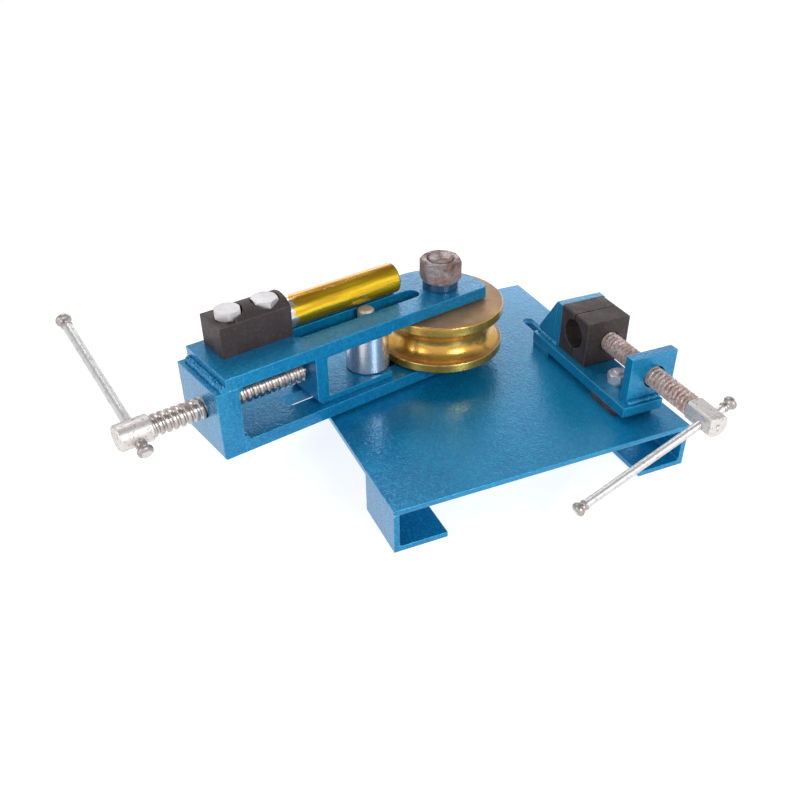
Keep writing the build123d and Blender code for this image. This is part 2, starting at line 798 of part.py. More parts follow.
# ---------------------------------------------------------------- vise screw
tip_end = moving_front_y + tip_bore_depth - 0.3
vise_thread_start = moving_front_y + screw_socket_depth - 0.3
with BuildPart() as vise_screw:
    with BuildSketch(vise_section(tip_end, vise_screw_x, vise_screw_z)):
        Circle(stub_radius)
    extrude(amount=tip_end - vise_thread_end + spigot_depth)
    with BuildSketch(vise_section(vise_thread_start, vise_screw_x, vise_screw_z)):
        Circle(screw_radius)
    extrude(amount=vise_thread_start - vise_thread_end)
vise_screw.part.label = "vise_screw"
export_step(vise_screw.part, "parts/vise_screw.step")

vise_tommy_axis = Vector(cos(radians(vise_tommy_slope)), 0, sin(radians(vise_tommy_slope)))
vise_cross = Vector(vise_screw_x, vise_cross_hole, vise_screw_z)
head_flat = 8.6
with BuildPart() as vise_head:
    with BuildSketch(vise_section(vise_thread_end, vise_screw_x, vise_screw_z)):
        Circle(vise_head_radius)
    extrude(amount=vise_thread_end - vise_head_end)
    chamfer(vise_head.edges().filter_by(GeomType.CIRCLE), 1.2)
    with BuildSketch(vise_section(vise_thread_end, vise_screw_x, vise_screw_z)):
        with Locations((0, head_flat + vise_head_radius)):
            Rectangle(4 * vise_head_radius, 2 * vise_head_radius)
        with Locations((-head_flat - vise_head_radius, 0)):
            Rectangle(2 * vise_head_radius, 4 * vise_head_radius)
    extrude(amount=vise_thread_end - vise_head_end, mode=Mode.SUBTRACT)
    with BuildSketch(vise_section(vise_thread_end, vise_screw_x, vise_screw_z)):
        Circle(stub_radius + 0.02)
    extrude(amount=spigot_depth, mode=Mode.SUBTRACT)
    with Locations(vise_section(vise_head_end, vise_screw_x, vise_screw_z)):
        CounterSinkHole(1.0, 2.4, depth=3.5)
    with Locations(Plane(origin=vise_cross, x_dir=(0, 1, 0), z_dir=vise_tommy_axis)):
        Hole(vise_tommy_radius + running_gap)
vise_head.part.label = "vise_screw_head"
export_step(vise_head.part, "parts/vise_screw_head.step")

vise_tommy = tommy_bar(
    vise_cross, vise_tommy_axis, Vector(0, 1, 0), -vise_tommy_far, vise_tommy_near, vise_tommy_radius
)
vise_tommy.label = "vise_tommy_bar"
export_step(vise_tommy, "parts/vise_tommy_bar.step")
vise_knobs = tommy_knobs(
    vise_cross,
    vise_tommy_axis,
    Vector(0, 1, 0),
    (-vise_tommy_far, vise_tommy_near),
    vise_tommy_radius,
    6.5,
    "vise_tommy_knobs",
)
export_step(vise_knobs, "parts/vise_tommy_knobs.step")
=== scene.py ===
import json
from math import pi, radians
from random import Random
import bmesh
import bpy
from mathutils import Matrix, Vector


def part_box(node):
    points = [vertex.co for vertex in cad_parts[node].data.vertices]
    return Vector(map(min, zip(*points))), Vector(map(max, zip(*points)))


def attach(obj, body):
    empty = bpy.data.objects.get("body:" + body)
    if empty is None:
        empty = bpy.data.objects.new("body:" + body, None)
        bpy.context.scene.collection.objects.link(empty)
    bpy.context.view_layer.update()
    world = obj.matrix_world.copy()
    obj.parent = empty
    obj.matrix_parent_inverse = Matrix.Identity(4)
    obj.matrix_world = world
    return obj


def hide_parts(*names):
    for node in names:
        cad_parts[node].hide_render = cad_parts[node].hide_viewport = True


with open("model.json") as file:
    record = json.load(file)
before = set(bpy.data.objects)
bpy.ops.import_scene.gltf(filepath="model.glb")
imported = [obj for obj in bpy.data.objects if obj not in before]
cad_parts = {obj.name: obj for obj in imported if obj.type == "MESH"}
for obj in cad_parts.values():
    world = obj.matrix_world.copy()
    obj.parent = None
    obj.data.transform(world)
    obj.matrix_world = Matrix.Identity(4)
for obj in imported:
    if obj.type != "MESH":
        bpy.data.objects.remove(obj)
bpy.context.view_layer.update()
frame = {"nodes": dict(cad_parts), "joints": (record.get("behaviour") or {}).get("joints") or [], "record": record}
nodes = frame["nodes"]
joints = {joint["name"]: joint for joint in frame["joints"]}
bpy.ops.object.select_all(action="DESELECT")
print("frame loaded,", len(nodes), "nodes")

mm = 0.001
up = Vector((0, 0, 1))
armAlong = Vector(joints["carriage_feed"]["axis"]).normalized()  # from the pivot to the screw end
armAcross = up.cross(armAlong)  # towards the front
pivot = Vector(joints["arm_swing"]["pos_m"])
pivot.z = 0


def middle(node):
    low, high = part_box(node)
    return (low + high) / 2


def armPlace(along, across, height):
    return pivot + armAlong * along + armAcross * across + up * height


def armReach(node, direction):
    # lowest and highest distance of a node from the pivot along a direction
    reach = [(vertex.co - pivot).dot(direction) for vertex in nodes[node].data.vertices]
    return min(reach), max(reach)


# ---- small helpers for nodes ----
def newNode(tree, kind, **values):
    made = tree.nodes.new(kind)
    for key, value in values.items():
        if hasattr(made, key):
            setattr(made, key, value)
        else:
            made.inputs[key.replace("_", " ")].default_value = value
    return made


def join(tree, source, target):
    tree.links.new(source, target)


def newGroup(name, inputs, outputs):
    tree = bpy.data.node_groups.new(name, "ShaderNodeTree")
    for socket, kind, value in inputs:
        made = tree.interface.new_socket(name=socket, in_out="INPUT", socket_type=kind)
        if value is not None:
            made.default_value = value
    for socket, kind in outputs:
        tree.interface.new_socket(name=socket, in_out="OUTPUT", socket_type=kind)
    return tree, tree.nodes.new("NodeGroupInput"), tree.nodes.new("NodeGroupOutput")


def useGroup(tree, group, **values):
    made = tree.nodes.new("ShaderNodeGroup")
    made.node_tree = group
    for key, value in values.items():
        made.inputs[key].default_value = value
    return made


def calc(tree, operation, first, second=None, third=None, clamp=False):
    made = newNode(tree, "ShaderNodeMath", operation=operation, use_clamp=clamp)
    for socket, value in zip(made.inputs, (first, second, third)):
        if value is None:
            continue
        if isinstance(value, (int, float)):
            socket.default_value = value
        else:
            join(tree, value, socket)
    return made.outputs[0]


def mixColour(tree, factor, first, second, mode="MIX"):
    made = newNode(tree, "ShaderNodeMix", data_type="RGBA", blend_type=mode, clamp_factor=True)
    for socket, value in ((made.inputs[0], factor), (made.inputs[6], first), (made.inputs[7], second)):
        if isinstance(value, (int, float)):
            socket.default_value = value
        elif isinstance(value, tuple):
            socket.default_value = value + (1,)
        else:
            join(tree, value, socket)
    return made.outputs[2]


def spread(tree, value, low, high, toLow=0.0, toHigh=1.0):
    made = newNode(tree, "ShaderNodeMapRange", clamp=True, interpolation_type="SMOOTHSTEP")
    join(tree, value, made.inputs[0])
    for socket, number in zip(list(made.inputs)[1:5], (low, high, toLow, toHigh)):
        socket.default_value = number
    return made.outputs[0]


# ---- shared effects ----
def makeBlotch():
    # soft patches, for stains, rust and colour variation
    tree, start, end = newGroup(
        "blotch",
        [("Scale", "NodeSocketFloat", 40.0), ("Detail", "NodeSocketFloat", 4.0),
         ("Low", "NodeSocketFloat", 0.4), ("High", "NodeSocketFloat", 0.6)],
        [("Mask", "NodeSocketFloat")],
    )
    place = newNode(tree, "ShaderNodeTexCoord")
    noise = newNode(tree, "ShaderNodeTexNoise", Roughness=0.6)
    ramp = newNode(tree, "ShaderNodeMapRange", clamp=True, interpolation_type="SMOOTHSTEP")
    join(tree, place.outputs["Object"], noise.inputs["Vector"])
    join(tree, start.outputs["Scale"], noise.inputs["Scale"])
    join(tree, start.outputs["Detail"], noise.inputs["Detail"])
    join(tree, noise.outputs["Fac"], ramp.inputs[0])
    join(tree, start.outputs["Low"], ramp.inputs[1])
    join(tree, start.outputs["High"], ramp.inputs[2])
    join(tree, ramp.outputs[0], end.inputs["Mask"])
    return tree


def makeEdgeRub():
    # a mask that is white on outer and inner edges, broken up by noise: rubbed edges on the metals, a painted edge
    # highlight on the enamel
    tree, start, end = newGroup(
        "edgeRubAndSheen",
        [("Width", "NodeSocketFloat", 0.001), ("Breakup", "NodeSocketFloat", 120.0),
         ("Low", "NodeSocketFloat", 0.05), ("High", "NodeSocketFloat", 0.3)],
        [("Mask", "NodeSocketFloat"), ("Normal", "NodeSocketVector")],
    )
    bevel = newNode(tree, "ShaderNodeBevel", samples=6)
    join(tree, start.outputs["Width"], bevel.inputs["Radius"])
    surface = newNode(tree, "ShaderNodeNewGeometry")
    turn = newNode(tree, "ShaderNodeVectorMath", operation="DOT_PRODUCT")
    join(tree, bevel.outputs[0], turn.inputs[0])
    join(tree, surface.outputs["Normal"], turn.inputs[1])
    sharp = calc(tree, "SUBTRACT", 1.0, turn.outputs["Value"])
    place = newNode(tree, "ShaderNodeTexCoord")
    noise = newNode(tree, "ShaderNodeTexNoise", Detail=5.0)
    join(tree, place.outputs["Object"], noise.inputs["Vector"])
    join(tree, start.outputs["Breakup"], noise.inputs["Scale"])
    broken = calc(tree, "MULTIPLY", sharp, calc(tree, "MULTIPLY", noise.outputs["Fac"], 3.0))
    ramp = newNode(tree, "ShaderNodeMapRange", clamp=True)
    join(tree, broken, ramp.inputs[0])
    join(tree, start.outputs["Low"], ramp.inputs[1])
    join(tree, start.outputs["High"], ramp.inputs[2])
    join(tree, ramp.outputs[0], end.inputs["Mask"])
    join(tree, bevel.outputs[0], end.inputs["Normal"])
    return tree


def makeHammer():
    # the dimples of hammertone enamel: pools of paint between thin valleys, and metal flake
    tree, start, end = newGroup(
        "hammerDimples",
        [("Size", "NodeSocketFloat", 300.0)],
        [("Height", "NodeSocketFloat"), ("Pool", "NodeSocketFloat"), ("Flake", "NodeSocketFloat")],
    )
    place = newNode(tree, "ShaderNodeTexCoord")
    warp = newNode(tree, "ShaderNodeTexNoise", Scale=160.0, Detail=2.0)
    join(tree, place.outputs["Object"], warp.inputs["Vector"])
    push = newNode(tree, "ShaderNodeVectorMath", operation="MULTIPLY_ADD")
    join(tree, warp.outputs["Color"], push.inputs[0])
    push.inputs[1].default_value = (0.004, 0.004, 0.004)
    join(tree, place.outputs["Object"], push.inputs[2])
    cells = newNode(tree, "ShaderNodeTexVoronoi", feature="SMOOTH_F1")
    cells.inputs["Smoothness"].default_value = 0.6
    join(tree, push.outputs[0], cells.inputs["Vector"])
    join(tree, start.outputs["Size"], cells.inputs["Scale"])
    fine = newNode(tree, "ShaderNodeTexNoise", Detail=3.0)
    join(tree, place.outputs["Object"], fine.inputs["Vector"])
    join(tree, calc(tree, "MULTIPLY", start.outputs["Size"], 0.45), fine.inputs["Scale"])
    raised = calc(tree, "MULTIPLY", fine.outputs["Fac"], 1.2)
    height = calc(tree, "SUBTRACT", raised, cells.outputs["Distance"])
    join(tree, height, end.inputs["Height"])
    join(tree, spread(tree, height, -0.1, 0.55), end.inputs["Pool"])
    flake = newNode(tree, "ShaderNodeTexVoronoi", feature="F1")
    join(tree, place.outputs["Object"], flake.inputs["Vector"])
    join(tree, calc(tree, "MULTIPLY", start.outputs["Size"], 5.0), flake.inputs["Scale"])
    grey = newNode(tree, "ShaderNodeSeparateColor")
    join(tree, flake.outputs["Color"], grey.inputs[0])
    join(tree, spread(tree, grey.outputs[0], 0.75, 1.0), end.inputs["Flake"])
    return tree


def makeTurning():
    # fine tool rings round an upright or lying axis
    tree, start, end = newGroup(
        "turnedRings",
        [("Centre", "NodeSocketVector", None), ("Axis", "NodeSocketVector", None),
         ("Fineness", "NodeSocketFloat", 900.0)],
        [("Height", "NodeSocketFloat"), ("Radius", "NodeSocketFloat"), ("Along", "NodeSocketFloat")],
    )
    place = newNode(tree, "ShaderNodeTexCoord")
    offset = newNode(tree, "ShaderNodeVectorMath", operation="SUBTRACT")
    join(tree, place.outputs["Object"], offset.inputs[0])
    join(tree, start.outputs["Centre"], offset.inputs[1])
    along = newNode(tree, "ShaderNodeVectorMath", operation="DOT_PRODUCT")
    join(tree, offset.outputs[0], along.inputs[0])
    join(tree, start.outputs["Axis"], along.inputs[1])
    cross = newNode(tree, "ShaderNodeVectorMath", operation="CROSS_PRODUCT")
    join(tree, offset.outputs[0], cross.inputs[0])
    join(tree, start.outputs["Axis"], cross.inputs[1])
    radius = newNode(tree, "ShaderNodeVectorMath", operation="LENGTH")
    join(tree, cross.outputs[0], radius.inputs[0])
    rings = newNode(tree, "ShaderNodeCombineXYZ")
    join(tree, radius.outputs["Value"], rings.inputs[0])
    join(tree, along.outputs["Value"], rings.inputs[1])
    noise = newNode(tree, "ShaderNodeTexNoise", Detail=3.0)
    join(tree, rings.outputs[0], noise.inputs["Vector"])
    join(tree, start.outputs["Fineness"], noise.inputs["Scale"])
    join(tree, noise.outputs["Fac"], end.inputs["Height"])
    join(tree, radius.outputs["Value"], end.inputs["Radius"])
    join(tree, along.outputs["Value"], end.inputs["Along"])
    return tree


blotch = makeBlotch()
edgeRubAndSheen = makeEdgeRub()
hammerDimples = makeHammer()
turnedRings = makeTurning()


def newMaterial(name):
    made = bpy.data.materials.new(name)
    made.use_nodes = True
    tree = made.node_tree
    return made, tree, tree.nodes["Principled BSDF"]


def bumpInto(tree, shader, height, distance, strength=1.0, normal=None, socket="Normal"):
    bump = newNode(tree, "ShaderNodeBump", Strength=strength, Distance=distance)
    join(tree, height, bump.inputs["Height"])
    if normal is not None:
        join(tree, normal, bump.inputs["Normal"])
    join(tree, bump.outputs[0], shader.inputs[socket])
    return bump.outputs[0]


enamel = {"deep": (0.001, 0.155, 0.36), "mid": (0.003, 0.25, 0.47), "pale": (0.006, 0.34, 0.58),
          "flake": (0.05, 0.52, 0.80), "edgeHighlight": (0.05, 0.50, 0.72), "grime": (0.004, 0.05, 0.12),
          "dimple": 520.0, "relief": 0.0004, "edgeWidth": 0.0012}


def makeEnamel(name="blueHammertone", dust=0.25, shade=1.0):
    made, tree, shader = newMaterial(name)
    dimples = useGroup(tree, hammerDimples, Size=enamel["dimple"])
    drift = useGroup(tree, blotch, Scale=9.0, Detail=2.0, Low=0.35, High=0.7)
    edges = useGroup(tree, edgeRubAndSheen, Width=enamel["edgeWidth"], Breakup=220.0, Low=0.03, High=0.25)
    colour = mixColour(tree, dimples.outputs["Pool"], enamel["deep"], enamel["mid"])
    colour = mixColour(tree, calc(tree, "MULTIPLY", drift.outputs["Mask"], 0.25), colour, enamel["pale"])
    colour = mixColour(tree, calc(tree, "MULTIPLY", dimples.outputs["Flake"], 0.22), colour, enamel["flake"])
    # painted highlight: the paint is lightened to pale cyan along edges
    colour = mixColour(tree, calc(tree, "MULTIPLY", edges.outputs["Mask"], 0.7), colour, enamel["edgeHighlight"])
    grime = useGroup(tree, blotch, Scale=55.0, Detail=6.0, Low=0.6, High=0.75)
    colour = mixColour(tree, calc(tree, "MULTIPLY", grime.outputs["Mask"], dust), colour, enamel["grime"])
    # painted shade: a shade below 1 darkens the whole colour towards dark grey-blue, for a copy of the paint that
    # stands in shade
    colour = mixColour(tree, shade, (0.035, 0.045, 0.065), colour)
    join(tree, colour, shader.inputs["Base Color"])
    shader.inputs["Metallic"].default_value = 0.35
    shader.inputs["Specular IOR Level"].default_value = 0.3
    join(tree, calc(tree, "MULTIPLY_ADD", drift.outputs["Mask"], 0.08, 0.24), shader.inputs["Roughness"])
    shader.inputs["Coat Weight"].default_value = 0.4
    shader.inputs["Coat Roughness"].default_value = 0.10
    bump = bumpInto(tree, shader, dimples.outputs["Height"], enamel["relief"], 0.40, edges.outputs["Normal"])
    join(tree, bump, shader.inputs["Coat Normal"])
    return made


rusts = {
    "nut": {"pink": (0.30, 0.20, 0.18), "brown": (0.12, 0.062, 0.042), "steel": (0.40, 0.35, 0.345)},
    "screw": {"pink": (0.62, 0.46, 0.41), "brown": (0.38, 0.24, 0.19), "steel": (0.74, 0.67, 0.65)},
    # the packer's rust is the same rust darkened: painted shade for the packer sitting in shade under the vise bar
    "packer": {"pink": (0.11, 0.07, 0.055), "brown": (0.035, 0.022, 0.018), "steel": (0.20, 0.18, 0.17)},
}


def makeRust(name, rust, steelLow, steelHigh, scale):
    made, tree, shader = newMaterial(name)
    skin = useGroup(tree, blotch, Scale=scale, Detail=8.0, Low=0.35, High=0.65)
    pits = useGroup(tree, blotch, Scale=scale * 3.2, Detail=8.0, Low=0.46, High=0.60)
    bare = useGroup(tree, blotch, Scale=scale * 0.7, Detail=6.0, Low=steelLow, High=steelHigh)
    edges = useGroup(tree, edgeRubAndSheen, Width=0.0012, Breakup=260.0, Low=0.03, High=0.22)
    colour = mixColour(tree, skin.outputs["Mask"], rust["brown"], rust["pink"])
    colour = mixColour(tree, calc(tree, "MULTIPLY", pits.outputs["Mask"], 0.45), colour, rust["brown"])
    shine = calc(tree, "MAXIMUM", bare.outputs["Mask"], edges.outputs["Mask"])
    colour = mixColour(tree, calc(tree, "MULTIPLY", shine, 0.85), colour, rust["steel"])
    join(tree, colour, shader.inputs["Base Color"])
    join(tree, calc(tree, "MULTIPLY_ADD", shine, 0.75, 0.15), shader.inputs["Metallic"])
    join(tree, calc(tree, "MULTIPLY_ADD", shine, -0.28, 0.66), shader.inputs["Roughness"])
    relief = calc(tree, "SUBTRACT", skin.outputs["Mask"], calc(tree, "MULTIPLY", pits.outputs["Mask"], 0.6))
    bumpInto(tree, shader, relief, 0.0005, 0.8, edges.outputs["Normal"])
    return made


def makeSteel(name, colour, rough, stain=0.3, axis=None, centre=None, ringDepth=0.00008,
              metal=1.0, grain=130.0):
    # bare steel with tool marks, brown spots and bright edges
    made, tree, shader = newMaterial(name)
    spots = useGroup(tree, blotch, Scale=grain, Detail=8.0, Low=0.53, High=0.66)
    haze = useGroup(tree, blotch, Scale=28.0, Detail=4.0, Low=0.3, High=0.75)
    edges = useGroup(tree, edgeRubAndSheen, Width=0.0009, Breakup=200.0, Low=0.04, High=0.3)
    shade = mixColour(tree, calc(tree, "MULTIPLY", haze.outputs["Mask"], 0.4), colour,
                      tuple(c * 0.68 for c in colour))
    shade = mixColour(tree, calc(tree, "MULTIPLY", spots.outputs["Mask"], stain), shade, (0.16, 0.10, 0.075))
    shade = mixColour(tree, calc(tree, "MULTIPLY", edges.outputs["Mask"], 0.5), shade, (0.85, 0.84, 0.82))
    join(tree, shade, shader.inputs["Base Color"])
    metallic = calc(tree, "MULTIPLY_ADD", spots.outputs["Mask"], -0.6 * stain, metal)
    join(tree, metallic, shader.inputs["Metallic"])
    wear = calc(tree, "MULTIPLY_ADD", haze.outputs["Mask"], 0.14, rough)
    roughness = calc(tree, "MULTIPLY_ADD", spots.outputs["Mask"], 0.35 * stain, wear)
    join(tree, roughness, shader.inputs["Roughness"])
    if axis is None:
        relief = useGroup(tree, blotch, Scale=700.0, Detail=4.0, Low=0.2, High=0.8).outputs["Mask"]
    else:
        rings = useGroup(tree, turnedRings, Fineness=1500.0)
        rings.inputs["Centre"].default_value = centre
        rings.inputs["Axis"].default_value = axis
        relief = rings.outputs["Height"]
    bumpInto(tree, shader, relief, ringDepth, 0.6, edges.outputs["Normal"])
    return made


def makeBrass():
    # polished groove and rims, browned flat flanges
    made, tree, shader = newMaterial("dieBrass")
    rings = useGroup(tree, turnedRings, Fineness=1100.0)
    rings.inputs["Centre"].default_value = (pivot.x, pivot.y, 0)
    rings.inputs["Axis"].default_value = (0, 0, 1)
    surface = newNode(tree, "ShaderNodeNewGeometry")
    split = newNode(tree, "ShaderNodeSeparateXYZ")
    join(tree, surface.outputs["Normal"], split.inputs[0])
    level = calc(tree, "ABSOLUTE", split.outputs["Z"])
    flat = spread(tree, level, 0.9, 0.99)
    patches = useGroup(tree, blotch, Scale=26.0, Detail=7.0, Low=0.35, High=0.68)
    film = useGroup(tree, blotch, Scale=70.0, Detail=6.0, Low=0.50, High=0.72)
    edges = useGroup(tree, edgeRubAndSheen, Width=0.0015, Breakup=90.0, Low=0.03, High=0.25)
    polished = mixColour(tree, film.outputs["Mask"], (0.66, 0.38, 0.08), (0.42, 0.22, 0.05))
    tarnish = mixColour(tree, patches.outputs["Mask"], (0.27, 0.155, 0.09), (0.36, 0.22, 0.12))
    cover = calc(tree, "MULTIPLY", flat, calc(tree, "MULTIPLY_ADD", patches.outputs["Mask"], -0.25, 1.0))
    colour = mixColour(tree, cover, polished, tarnish)
    colour = mixColour(tree, calc(tree, "MULTIPLY", edges.outputs["Mask"], 0.6), colour, (0.86, 0.64, 0.28))
    join(tree, colour, shader.inputs["Base Color"])
    join(tree, calc(tree, "MULTIPLY_ADD", cover, -0.35, 0.85), shader.inputs["Metallic"])
    gloss = calc(tree, "MULTIPLY_ADD", film.outputs["Mask"], 0.10, 0.24)
    join(tree, calc(tree, "MULTIPLY_ADD", cover, 0.24, gloss), shader.inputs["Roughness"])
    bumpInto(tree, shader, rings.outputs["Height"], 0.00018, 0.7, edges.outputs["Normal"])
    return made


def makeOxide():
    made, tree, shader = newMaterial("blackOxide")
    wear = useGroup(tree, blotch, Scale=45.0, Detail=7.0, Low=0.42, High=0.7)
    specks = useGroup(tree, blotch, Scale=380.0, Detail=5.0, Low=0.55, High=0.66)
    edges = useGroup(tree, edgeRubAndSheen, Width=0.0011, Breakup=170.0, Low=0.04, High=0.28)
    colour = mixColour(tree, wear.outputs["Mask"], (0.046, 0.034, 0.033), (0.078, 0.057, 0.055))
    colour = mixColour(tree, calc(tree, "MULTIPLY", specks.outputs["Mask"], 0.35), colour,
                       (0.11, 0.095, 0.088))
    colour = mixColour(tree, calc(tree, "MULTIPLY", edges.outputs["Mask"], 0.6), colour, (0.20, 0.185, 0.17))
    join(tree, colour, shader.inputs["Base Color"])
    shader.inputs["Metallic"].default_value = 0.4
    join(tree, calc(tree, "MULTIPLY_ADD", wear.outputs["Mask"], -0.14, 0.56), shader.inputs["Roughness"])
    bumpInto(tree, shader, specks.outputs["Mask"], 0.00018, 0.6, edges.outputs["Normal"])
    return made


def makeGold():
    # clear gold film over bright tube: rubbed through at the block end, with scattered scuffs; painted shade
    # darkens the top to orange-brown and the underside to olive
    made, tree, shader = newMaterial("goldFilm")
    rings = useGroup(tree, turnedRings, Fineness=300.0)
    rings.inputs["Centre"].default_value = tuple(tubeMiddle)
    rings.inputs["Axis"].default_value = tuple(armAlong)
    ragged = useGroup(tree, blotch, Scale=110.0, Detail=6.0, Low=0.2, High=0.8)
    # streaks drawn out along the tube: they vary roughness and bump, and lighten the gold as painted glare
    place = newNode(tree, "ShaderNodeTexCoord")
    drawn = newNode(tree, "ShaderNodeVectorMath", operation="SCALE")
    drawn.inputs[0].default_value = tuple(armAlong)
    join(tree, calc(tree, "MULTIPLY", rings.outputs["Along"], -0.88), drawn.inputs["Scale"])
    short = newNode(tree, "ShaderNodeVectorMath", operation="ADD")
    join(tree, place.outputs["Object"], short.inputs[0])
    join(tree, drawn.outputs[0], short.inputs[1])
    streak = newNode(tree, "ShaderNodeTexNoise", Scale=150.0, Detail=5.0)
    join(tree, short.outputs[0], streak.inputs["Vector"])
    streaksAndGlare = spread(tree, streak.outputs["Fac"], 0.3, 0.7)
    edgeAt = calc(tree, "MULTIPLY_ADD", ragged.outputs["Mask"], 0.010, rings.outputs["Along"])
    bare = spread(tree, edgeAt, tubeHalf - 0.0026, tubeHalf - 0.0014)
    scuffs = useGroup(tree, blotch, Scale=160.0, Detail=8.0, Low=0.64, High=0.70)
    bare = calc(tree, "MAXIMUM", bare, calc(tree, "MULTIPLY", scuffs.outputs["Mask"], 0.5))
    # painted reflection: the streaks lighten the gold like glare along the tube
    gold = mixColour(tree, streaksAndGlare, (0.70, 0.38, 0.004), (0.88, 0.60, 0.006))
    surface = newNode(tree, "ShaderNodeNewGeometry")
    split = newNode(tree, "ShaderNodeSeparateXYZ")
    join(tree, surface.outputs["Normal"], split.inputs[0])
    # painted shade: faces turned upward are darkened towards orange-brown
    paintedTopShade = spread(tree, split.outputs["Z"], 0.80, 0.98, 0.0, 0.7)
    gold = mixColour(tree, paintedTopShade, gold, (0.46, 0.19, 0.01))
    # painted shade: faces turned downward are darkened towards olive
    paintedUnderShade = spread(tree, split.outputs["Z"], -0.25, -0.75, 0.0, 0.7)
    gold = mixColour(tree, paintedUnderShade, gold, (0.24, 0.20, 0.015))
    colour = mixColour(tree, bare, gold, (0.72, 0.72, 0.70))
    rim = spread(tree, rings.outputs["Along"], 0.0012 - tubeHalf, 0.0004 - tubeHalf, 0.0, 0.8)
    colour = mixColour(tree, rim, colour, (0.06, 0.045, 0.03))
    join(tree, colour, shader.inputs["Base Color"])
    shader.inputs["Metallic"].default_value = 0.85
    join(tree, calc(tree, "MULTIPLY_ADD", streaksAndGlare, 0.16, 0.14), shader.inputs["Roughness"])
    shader.inputs["Coat Weight"].default_value = 0.45
    shader.inputs["Coat Roughness"].default_value = 0.06
    edges = useGroup(tree, edgeRubAndSheen, Width=0.0008, Breakup=170.0, Low=0.04, High=0.28)
    bumpInto(tree, shader, streaksAndGlare, 0.0003, 0.5, edges.outputs["Normal"])
    return made


tubeMiddle = middle("handle_socket_tube")
tubeLow, tubeHigh = armReach("handle_socket_tube", armAlong)
tubeHalf = (tubeHigh - tubeLow) / 2

paint = makeEnamel()
# a copy of the paint darkened by painted shade, for the spacer in shade under the pivot nut
paintWithPaintedShade = makeEnamel("blueHammertoneWithPaintedShade", 0.5, 0.25)
nutRust = makeRust("nutRust", rusts["nut"], 0.45, 0.60, 80.0)
screwRust = makeRust("screwRust", rusts["screw"], 0.44, 0.60, 300.0)
# rust darkened as painted shade for the packer under the vise bar
packerRust = makeRust("packerRust", rusts["packer"], 0.62, 0.75, 110.0)
rollerMiddle = middle("pressure_roller")
screwAxisPoint = Vector(joints["feed_screw_turn"]["pos_m"])
jawAxisPoint = Vector(joints["jaw_screw_turn"]["pos_m"])
jawAxis = Vector(joints["jaw_screw_turn"]["axis"])
rollerSteel = makeSteel("rollerSteel", (0.74, 0.72, 0.74), 0.20, 0.10, (0, 0, 1),
                        tuple(rollerMiddle), 0.00015, 0.85)
leadSteel = makeSteel("leadSteel", (0.58, 0.52, 0.48), 0.26, 0.55, tuple(armAlong),
                      tuple(screwAxisPoint), 0.00008, 1.0)
headSteel = makeSteel("headSteel", (0.70, 0.66, 0.64), 0.40, 0.55, metal=0.75, grain=330.0)
barSteel = makeSteel("barSteel", (0.66, 0.65, 0.64), 0.38, 0.35, metal=0.75, grain=260.0)
knobSteel = makeSteel("knobSteel", (0.44, 0.40, 0.38), 0.36, 0.5, metal=0.9, grain=330.0)
zinc = makeSteel("zincPlate", (0.70, 0.68, 0.69), 0.38, 0.14, metal=0.8)
hiddenSteel = makeSteel("washerSteel", (0.40, 0.38, 0.36), 0.38, 0.6)
brass = makeBrass()
oxide = makeOxide()
gold = makeGold()
print("materials made")

finishes = {
    paint: ["base_plate", "foot_front_left", "foot_front_right", "foot_back_left", "foot_back_right",
            "arm_top_bar", "arm_bottom_bar", "arm_end_block", "carriage_bracket",
            "vise_base_bar", "vise_front_plate", "vise_rear_plate", "vise_gusset", "vise_nut",
            "vise_rear_packer", "foot_welds", "arm_welds", "vise_welds"],
    paintWithPaintedShade: ["pivot_spacer"],
    nutRust: ["pivot_stud", "pivot_nut"],
    packerRust: ["vise_front_packer"],
    screwRust: ["vise_screw"],
    leadSteel: ["lead_screw", "lead_screw_collar"],
    rollerSteel: ["pressure_roller"],
    headSteel: ["lead_screw_head", "vise_screw_head", "roller_pin"],
    barSteel: ["lead_tommy_bar", "lead_tommy_knobs", "vise_tommy_bar", "vise_tommy_knobs"],
    zinc: ["handle_bolts", "hold_down_bolts", "hold_down_nuts", "hold_down_washers"],
    hiddenSteel: ["base_thrust_washer", "lower_die_washer", "upper_die_washer", "pin_circlip"],
    brass: ["bending_die"],
    oxide: ["handle_block", "clamp_fixed_half", "clamp_moving_half"],
    gold: ["handle_socket_tube"],
}
for finish, members in finishes.items():
    for member in members:
        slots = nodes[member].data.materials
        if len(slots) == 0:
            slots.append(finish)
        for index in range(len(slots)):
            slots[index] = finish
print("finishes on the CAD nodes")


# ---- modelling helpers ----
def active():
    return bpy.context.view_layer.objects.active


def only(piece):
    bpy.ops.object.select_all(action="DESELECT")
    piece.select_set(True)
    bpy.context.view_layer.objects.active = piece


def settle(piece):
    # put the piece's place into its mesh
    only(piece)
    bpy.ops.object.transform_apply(location=True, rotation=True, scale=True)
    bpy.ops.object.mode_set(mode="EDIT")
    bpy.ops.mesh.select_all(action="SELECT")
    bpy.ops.mesh.remove_doubles(threshold=0.000005)
    bpy.ops.mesh.normals_make_consistent(inside=False)
    bpy.ops.object.mode_set(mode="OBJECT")


def applyModifier(piece, kind, **settings):
    made = piece.modifiers.new(kind.lower(), kind)
    for key, value in settings.items():
        setattr(made, key, value)
    only(piece)
    bpy.ops.object.modifier_apply(modifier=made.name)


def cutEnd(piece, at, outward):
    # cut off what lies beyond a plane and close the cut
    only(piece)
    bpy.ops.object.mode_set(mode="EDIT")
    bpy.ops.mesh.select_all(action="SELECT")
    bpy.ops.mesh.bisect(plane_co=at, plane_no=outward, use_fill=True, clear_outer=True, clear_inner=False)
    bpy.ops.object.mode_set(mode="OBJECT")


